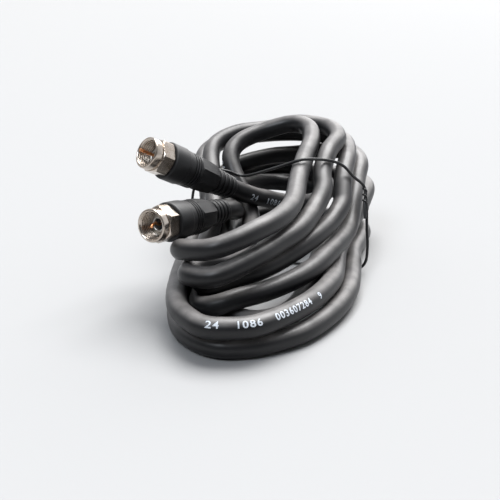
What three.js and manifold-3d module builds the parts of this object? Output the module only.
// A loosely wound coil of coaxial cable with a moulded F connector on each end.
// Millimetres, +Z up. The coil lies on the floor, its long way along Y, its near end towards -Y.
import * as THREE from 'three';
import { mergeVertices } from 'three/addons/utils/BufferGeometryUtils.js';
import Module from 'manifold-3d';

// Cable
const CABLE_DIAMETER = 7.0;
const CABLE_SIDES = 8;
const SWEEP_STEP = 7.0;
const TURN_GAP = 0.45;
const ROUTE_STEP = 3.6;
const SETTLE_ROUNDS = 400;
const SPREAD = 0.5;
const HOLD = 0.998;
const LEAD_LENGTH = 18.0;
const ALONG_ITSELF = 18.0;

// Moulded boot behind each connector
const BOOT_LENGTH = 31.5;
const BOOT_TAIL_DIAMETER = 8.6;
const BOOT_NECK_DIAMETER = 9.6;
const BOOT_BODY_DIAMETER = 11.8;
const BOOT_COLLAR_DIAMETER = 13.3;
const BOOT_COLLAR_LENGTH = 9.0;
const BOOT_NECK_LENGTH = 8.0;
const BOOT_RIB = 0.5;
const BOOT_SIDES = 16;

// Coupling nut, a round threaded front on a hexagon
const NUT_LENGTH = 8.5;
const NUT_ACROSS_FLATS = 11.1;
const NUT_RING_DIAMETER = 11.0;
const NUT_RING_LENGTH = 3.2;
const NUT_BORE_DIAMETER = 8.7;
const NUT_LIP_THICKNESS = 1.8;
const NUT_SIDES = 24;

// Post, insulator and centre wire inside the nut
const POST_SHANK_DIAMETER = 6.0;
const POST_SHANK_DEPTH = 4.0;
const POST_FLANGE_DIAMETER = 8.0;
const POST_FLANGE_THICKNESS = 1.0;
const POST_FACE_DIAMETER = 5.4;
const POST_FACE_HEIGHT = 1.2;
const POST_BORE_DIAMETER = 3.8;
const INSULATOR_RECESS = 0.8;
const PIN_DIAMETER = 1.02;
const PIN_REACH = 1.5;
const PIN_ROOT = 3.0;
const POST_SIDES = 16;

// Wire tie round the waist
const TIE_DIAMETER = 1.1;
const TIE_SIDES = 8;
const TIE_STEP = 2.4;
const TIE_ROUNDS = 60;
const TIE_LIFT = 0.2;
const TIE_Y = 15.0;
const TIE_RAMP = 24.0;

const CLEARANCE = 0.3;
const MIDDLE = new THREE.Vector3(-8.515, 2.3, 0);

// Where each boot lies: the end its cable leaves, and the mouth its nut opens to
const CONNECTORS = [
  { tail: [-21.4, 2.2, 33.3], mouth: [-40.5, -27.3, 52.2] },
  { tail: [-20.8, -8.3, 27.5], mouth: [-31.4, -45.7, 33.3] },
];

// Points the cable passes, chosen by hand, from boot 1 round seven turns to boot 2
const LEAD_OUT = [
  [-21.4, 2.2, 33.3], [-17, 9, 29.2], [-11, 18, 24.5], [-4, 28, 20.5], [3, 38, 19], [6, 49, 21],
  [1, 58, 24], [-10, 62, 26], [-24, 58, 26], [-32, 46, 23], [-32, 30, 18], [-28, 12, 13],
  [-24, -8, 11], [-22, -24, 14],
];
const TOP_TURN = [
  [-25, -36, 19], [-23, -45, 23], [-12, -49, 26.5], [-5, -46, 29], [1, -39, 31.5], [6, -27, 33],
  [7, -13, 34.5], [5, 2, 38.5], [4, 15, 42.5], [3, 29, 46], [-1, 40, 48.5], [-9, 44, 49],
  [-20, 42, 46], [-30, 35, 42], [-32, 27, 37], [-27, 19, 28], [-21, 10, 20],
];
const SECOND_TURN = [
  [-18, -6, 15], [-19, -26, 13], [-24, -40, 15], [-22, -49, 16.5], [-13, -51, 18], [-7, -48, 20],
  [0, -40, 22.8], [5, -30, 24.5], [10, -18, 26.5], [12, -4, 29], [13, 6, 33.3], [11, 14, 38],
  [11, 24, 43], [12, 38, 45.5], [5, 49, 47], [-8, 52, 47], [-20, 51, 44], [-33, 44, 42],
  [-39, 33, 37], [-33, 17, 26], [-26, 0, 18],
];
const THIRD_TURN = [
  [-22, -20, 12], [-19, -36, 11.5], [-13, -43, 12], [-6, -40, 14], [1, -35, 16], [7, -25, 18],
  [13, -12, 21], [17, 2, 23.5], [19, 12, 27.5], [18, 18, 32], [17, 25, 36], [16, 37, 40],
  [12, 51, 41.5], [3, 58, 41.5], [-12, 59, 41.5], [-28, 57, 40], [-40, 50, 38], [-44, 38, 34],
  [-37, 22, 26], [-31, 6, 17], [-26, -12, 9],
];
const FOURTH_TURN = [
  [-23, -28, 6], [-19, -38, 7.5], [-14, -43, 8.5], [-8, -43, 9], [-1, -39, 9.8], [6, -34, 10.7],
  [13, -26, 11.8], [18, -15, 12.6], [21, 1, 14], [22, 16, 16.4], [21, 29, 25], [20, 40, 29.6],
  [19, 50, 34], [13, 57, 37], [4, 59, 36], [-9, 57, 34], [-20, 54, 32.5], [-32, 46, 29],
  [-35, 34, 24], [-32, 16, 16], [-28, -5, 12],
];
const OUTER_TURN = [
  [-23, -28, 11], [-20, -45, 10.5], [-16, -56, 10.5], [-11, -62, 10.5], [-5, -66, 10.5],
  [2, -65, 10.5], [9, -61, 10.5], [15, -51, 10.5], [20, -36, 10.5], [22, -19, 10.5], [20, -3, 10],
  [18, 12, 10], [19, 28, 14], [21, 45, 18], [20, 60, 21], [10, 69, 22], [-8, 71, 22],
  [-26, 66, 20], [-37, 54, 17], [-38, 38, 13], [-33, 16, 9],
];
const FLOOR_TURN = [
  [-28, -8, 5], [-22, -28, 3.5], [-18, -46, 3.5], [-12, -58, 3.5], [-2, -63.5, 3.5],
  [7, -61, 3.5], [14, -55, 3.5], [21, -45, 3.5], [26, -28, 3.5], [27, -11, 3.5], [24.5, 7, 3.5],
  [22, 22, 3.5], [22, 38, 3.5], [21, 51, 4], [13, 61, 4], [0, 65, 4], [-16, 64, 4],
  [-29, 55, 4], [-33, 38, 4], [-29, 16, 4], [-22, -8, 4],
];
const INNER_TURN = [
  [-18, -26, 4], [-12, -40, 4], [-1, -45, 4], [8, -40, 4], [13, -28, 4.5], [14, -10, 6],
  [14, 8, 8], [16, 26, 11], [20, 44, 13], [20, 57, 15], [10, 64, 17], [-6, 61, 19],
  [-19, 54, 21], [-27, 42, 22], [-27.5, 28, 20.5], [-24, 16, 20.5], [-20, 6, 23],
  [-19.4, -2, 26.2], [-20.8, -8.3, 27.5],
];

// Points the tie passes, from the twist over the top, down the left side and back under the coil
const TIE_TWIST_END = [27.5, 17, 21];
const TIE_ROUTE = [
  [26.5, 20, 26], [25.5, 24, 31], [21.5, 20, 36], [17, 18, 40.5], [11, 13, 43], [6, 7, 44.5],
  [2, 6, 43.5], [-9, 13, 38], [-21, 20, 32.5], [-28, 19, 34], [-35, 18, 33.5], [-40, 17, 28],
  [-42, 17, 18], [-41, 16, 8], [-38, 15, 1.5], [-30, 15, 0.55], [-10, 15, 0.55], [12, 15, 0.55],
  [24, 15, 0.9], [28.5, 15, 4], [29, 16, 11], [28.3, 17, 17], [27.4, 20, 24], [26.3, 23, 29],
];

const point = (p) => new THREE.Vector3(...p);

// The points of a smooth curve, at even steps along it
function evenPoints(points, step) {
  const curve = new THREE.CatmullRomCurve3(points, false, 'catmullrom', 0.5);
  curve.arcLengthDivisions = points.length * 40;
  const count = Math.max(2, Math.round(curve.getLength() / step));
  return curve.getSpacedPoints(count);
}

// Pushes on each point are shared with its neighbours, so that the line stays fair
function shareShifts(laid, moved, pinned) {
  const shifts = moved.map((p, i) => p.clone().sub(laid[i]));
  return moved.map((p, i) => {
    if (i < pinned || i >= moved.length - pinned) return laid[i].clone();
    const middle = shifts[i - 1].clone().add(shifts[i + 1]).multiplyScalar(0.5);
    return shifts[i].clone().lerp(middle, SPREAD).multiplyScalar(HOLD).add(laid[i]);
  });
}

// What a turn must stay clear of besides the other turns: points along each boot and nut
function connectorBodies() {
  const bodies = [];
  for (const { tail, mouth } of CONNECTORS) {
    const count = 14;
    for (let i = 0; i < count; i += 1) {
      const share = i / (count - 1);
      const onNeck = share < 0.25;
      const radius = onNeck ? BOOT_TAIL_DIAMETER / 2 : BOOT_COLLAR_DIAMETER / 2 - 0.4;
      bodies.push({ at: point(tail).lerp(point(mouth), share), radius });
    }
  }
  return bodies;
}

// The lowest the cable's middle may lie: on the floor, and over the tie where it passes below
function lowest(y) {
  const off = Math.min(1, Math.abs(y - TIE_Y) / TIE_RAMP);
  const rise = (TIE_LIFT + TIE_DIAMETER + CLEARANCE) * Math.cos(off * Math.PI / 2) ** 2;
  return CABLE_DIAMETER / 2 + rise;
}

// Turns that overlap are pressed apart, round by round, until they lie beside each other
function settle(laid) {
  const apart = CABLE_DIAMETER + TURN_GAP;
  const skip = Math.ceil(ALONG_ITSELF / ROUTE_STEP);
  const pinned = Math.ceil(LEAD_LENGTH / ROUTE_STEP);
  const bodies = connectorBodies();
  let line = laid.map((p) => p.clone());
  for (let round = 0; round < SETTLE_ROUNDS; round += 1) {
    const pushes = line.map(() => new THREE.Vector3());
    const counts = line.map(() => 0);
    for (let i = 0; i < line.length; i += 1) {
      for (let j = i + skip; j < line.length; j += 1) {
        const between = line[j].clone().sub(line[i]);
        const distance = between.length();
        if (distance >= apart) continue;
        between.multiplyScalar((apart - distance) / 2 / distance);
        pushes[i].sub(between);
        pushes[j].add(between);
        counts[i] += 1;
        counts[j] += 1;
      }
    }
    line = line.map((p, i) => p.clone().addScaledVector(pushes[i], 1 / Math.max(1, counts[i])));
    for (const p of line) {
      for (const { at, radius } of bodies) {
        const away = p.clone().sub(at);
        const over = radius + CABLE_DIAMETER / 2 + CLEARANCE - away.length();
        if (over > 0) p.addScaledVector(away.normalize(), over);
      }
    }
    line = shareShifts(laid, line, pinned);
    for (const p of line) p.z = Math.max(p.z, lowest(p.y));
  }
  return line;
}

// The tie is drawn round the bundle and kept just outside the cable
function layTie(cableLine) {
  const reach = (CABLE_DIAMETER + TIE_DIAMETER) / 2 + CLEARANCE;
  const near = evenPoints(cableLine, 1.5);
  const laid = evenPoints(TIE_ROUTE.map(point), TIE_STEP);
  let line = laid.map((p) => p.clone());
  for (let round = 0; round < TIE_ROUNDS; round += 1) {
    for (const p of line) {
      for (const c of near) {
        const over = reach - p.distanceTo(c);
        if (over > 0) p.addScaledVector(p.clone().sub(c).normalize(), over);
      }
      p.z = Math.max(p.z, TIE_DIAMETER / 2 + TIE_LIFT);
    }
    if (round < TIE_ROUNDS - 1) line = shareShifts(laid, line, 1);
  }
  return line;
}

function roundSection(diameter, sides) {
  const section = new THREE.Shape();
  for (let i = 0; i < sides; i += 1) {
    const angle = (i + 0.5) / sides * Math.PI * 2;
    const x = Math.cos(angle) * diameter / 2;
    const y = Math.sin(angle) * diameter / 2;
    if (i === 0) section.moveTo(x, y);
    else section.lineTo(x, y);
  }
  return section;
}

function sweep(points, diameter, sides, step) {
  const curve = new THREE.CatmullRomCurve3(points, false, 'catmullrom', 0.5);
  curve.arcLengthDivisions = points.length * 20;
  const steps = Math.round(curve.getLength() / step);
  return new THREE.ExtrudeGeometry(roundSection(diameter, sides), {
    steps,
    extrudePath: curve,
    bevelEnabled: false,
  });
}

// A turned piece; its profile is given as radius and height pairs up its axis
function turned(profile, sides) {
  const points = profile.map(([radius, height]) => new THREE.Vector2(radius, height));
  return new THREE.LatheGeometry(points, sides);
}

const wasm = await Module();
wasm.setup();

function solidOf(geometry) {
  const bare = geometry.clone();
  bare.deleteAttribute('normal');
  bare.deleteAttribute('uv');
  const merged = mergeVertices(bare, 1e-4);
  const mesh = new wasm.Mesh({
    numProp: 3,
    vertProperties: new Float32Array(merged.attributes.position.array),
    triVerts: new Uint32Array(merged.index.array),
  });
  return new wasm.Manifold(mesh);
}

function geometryOf(solid) {
  const mesh = solid.getMesh();
  const geometry = new THREE.BufferGeometry();
  geometry.setAttribute('position', new THREE.BufferAttribute(mesh.vertProperties, 3));
  geometry.setIndex(new THREE.BufferAttribute(mesh.triVerts, 1));
  geometry.computeVertexNormals();
  return geometry;
}

// The boot: tapered neck with ribs, body, a groove and a wide collar; a socket takes the post
function bootGeometry() {
  const tail = BOOT_TAIL_DIAMETER / 2;
  const neck = BOOT_NECK_DIAMETER / 2;
  const body = BOOT_BODY_DIAMETER / 2;
  const collar = BOOT_COLLAR_DIAMETER / 2;
  const socket = POST_SHANK_DIAMETER / 2 + CLEARANCE;
  const collarStart = BOOT_LENGTH - BOOT_COLLAR_LENGTH;
  const bodyStart = BOOT_NECK_LENGTH + 1.5;
  const grooveStart = collarStart - 3.0;
  const socketFloor = BOOT_LENGTH - POST_SHANK_DEPTH - CLEARANCE;
  return turned([
    [0, 0],
    [tail, 0],
    [neck, BOOT_NECK_LENGTH],
    [body, bodyStart],
    [body + 0.4, grooveStart],
    [body + 0.4 - BOOT_RIB, grooveStart + 0.5],
    [body + 0.4 - BOOT_RIB, grooveStart + 1.5],
    [body + 0.5, grooveStart + 2.0],
    [collar, collarStart],
    [collar, BOOT_LENGTH - 0.6],
    [collar - 0.6, BOOT_LENGTH],
    [socket, BOOT_LENGTH],
    [socket, socketFloor],
    [0, socketFloor],
  ], BOOT_SIDES);
}

// The nut: a hexagon and a round front, bored to the lip that holds it behind the post's flange
function nutGeometry() {
  const start = CLEARANCE;
  const ringStart = NUT_LENGTH - NUT_RING_LENGTH;
  const corner = NUT_ACROSS_FLATS / Math.sqrt(3);
  const ring = NUT_RING_DIAMETER / 2;
  const hexagon = turned([
    [0, start],
    [corner - 0.5, start],
    [corner, start + 0.5],
    [corner, ringStart - 0.6],
    [corner - 0.6, ringStart],
    [0, ringStart],
  ], 6);
  const front = turned([
    [0, start + 0.5],
    [ring - 0.3, start + 0.5],
    [ring - 0.3, ringStart],
    [ring, ringStart + 0.3],
    [ring, NUT_LENGTH - 0.4],
    [ring - 0.4, NUT_LENGTH],
    [0, NUT_LENGTH],
  ], NUT_SIDES);
  const lipBore = POST_SHANK_DIAMETER / 2 + CLEARANCE;
  const bore = NUT_BORE_DIAMETER / 2;
  const cavity = turned([
    [0, start - 1],
    [lipBore, start - 1],
    [lipBore, start + NUT_LIP_THICKNESS],
    [bore, start + NUT_LIP_THICKNESS],
    [bore, NUT_LENGTH - 0.4],
    [bore + 0.4, NUT_LENGTH],
    [bore + 0.4, NUT_LENGTH + 1],
    [0, NUT_LENGTH + 1],
  ], NUT_SIDES);
  return geometryOf(solidOf(hexagon).add(solidOf(front)).subtract(solidOf(cavity)));
}

const FLANGE_START = CLEARANCE + NUT_LIP_THICKNESS + CLEARANCE;
const FACE_TOP = FLANGE_START + POST_FLANGE_THICKNESS + POST_FACE_HEIGHT;

// The post: a shank in the boot's socket, a flange inside the nut and a raised face ring
function postGeometry() {
  const bore = POST_BORE_DIAMETER / 2;
  const shank = POST_SHANK_DIAMETER / 2;
  const flange = POST_FLANGE_DIAMETER / 2;
  const face = POST_FACE_DIAMETER / 2;
  const profile = [
    [bore, -POST_SHANK_DEPTH],
    [shank, -POST_SHANK_DEPTH],
    [shank, FLANGE_START],
    [flange, FLANGE_START],
    [flange, FLANGE_START + POST_FLANGE_THICKNESS],
    [face, FLANGE_START + POST_FLANGE_THICKNESS],
    [face, FACE_TOP],
    [bore, FACE_TOP],
  ];
  return turned([...profile, profile[0]], POST_SIDES);
}

// The insulator fills the post's bore round the centre wire
function insulatorGeometry() {
  const outer = POST_BORE_DIAMETER / 2 - CLEARANCE;
  const inner = PIN_DIAMETER / 2 + CLEARANCE;
  const top = FACE_TOP - INSULATOR_RECESS;
  const profile = [
    [inner, -POST_SHANK_DEPTH],
    [outer, -POST_SHANK_DEPTH],
    [outer, top],
    [inner, top],
  ];
  return turned([...profile, profile[0]], POST_SIDES);
}

function pinGeometry() {
  const radius = PIN_DIAMETER / 2;
  const tip = NUT_LENGTH + PIN_REACH;
  return turned([
    [0, -PIN_ROOT],
    [radius, -PIN_ROOT],
    [radius, tip - 0.3],
    [radius - 0.3, tip],
    [0, tip],
  ], TIE_SIDES);
}

const FINISH = {
  jacket: { color: 0x1b1b1d, roughness: 0.42, metalness: 0 },
  boot: { color: 0x232325, roughness: 0.6, metalness: 0 },
  nickel: { color: 0xc9c5bd, roughness: 0.28, metalness: 1 },
  insulator: { color: 0x0c0c0c, roughness: 0.7, metalness: 0 },
  copper: { color: 0xb87548, roughness: 0.35, metalness: 1 },
  tie: { color: 0x141414, roughness: 0.5, metalness: 0 },
};

function piece(name, geometry, finish) {
  const mesh = new THREE.Mesh(geometry, new THREE.MeshStandardMaterial(FINISH[finish]));
  mesh.name = name;
  return mesh;
}

// Each connector stands with its boot's tail at the cable's end and its axis along +Y turned
function connector(number, { tail, mouth }) {
  const axis = point(mouth).sub(point(tail)).normalize();
  const boot = new THREE.Group();
  boot.position.copy(point(tail));
  boot.quaternion.setFromUnitVectors(new THREE.Vector3(0, 1, 0), axis);
  boot.add(piece(`boot_${number}`, bootGeometry(), 'boot'));
  const front = new THREE.Group();
  front.position.y = BOOT_LENGTH;
  front.add(
    piece(`coupling_nut_${number}`, nutGeometry(), 'nickel'),
    piece(`post_${number}`, postGeometry(), 'nickel'),
    piece(`insulator_${number}`, insulatorGeometry(), 'insulator'),
    piece(`centre_wire_${number}`, pinGeometry(), 'copper'),
  );
  boot.add(front);
  return boot;
}

// The cable's ends stop just short of the boots' tail faces
function stations() {
  const first = point(CONNECTORS[0].tail);
  const firstAxis = first.clone().sub(point(CONNECTORS[0].mouth)).normalize();
  const last = point(CONNECTORS[1].tail);
  const lastAxis = last.clone().sub(point(CONNECTORS[1].mouth)).normalize();
  const inner = [
    ...LEAD_OUT.slice(1), ...TOP_TURN, ...SECOND_TURN, ...THIRD_TURN, ...FOURTH_TURN,
    ...OUTER_TURN, ...FLOOR_TURN, ...INNER_TURN.slice(0, -1),
  ].map(point);
  return [
    first.addScaledVector(firstAxis, CLEARANCE),
    ...inner,
    last.addScaledVector(lastAxis, CLEARANCE),
  ];
}

const laid = evenPoints(stations(), ROUTE_STEP);
const cableLine = settle(laid);
const tieLine = layTie(cableLine);
const tieEnds = [point(TIE_TWIST_END), ...tieLine];

const coil = new THREE.Group();
coil.add(piece('cable', sweep(cableLine, CABLE_DIAMETER, CABLE_SIDES, SWEEP_STEP), 'jacket'));
coil.add(piece('wire_tie', sweep(tieEnds, TIE_DIAMETER, TIE_SIDES, TIE_STEP), 'tie'));
CONNECTORS.forEach((place, i) => coil.add(connector(i + 1, place)));
coil.position.copy(MIDDLE).negate();

const part = new THREE.Group();
part.add(coil);

export default part;
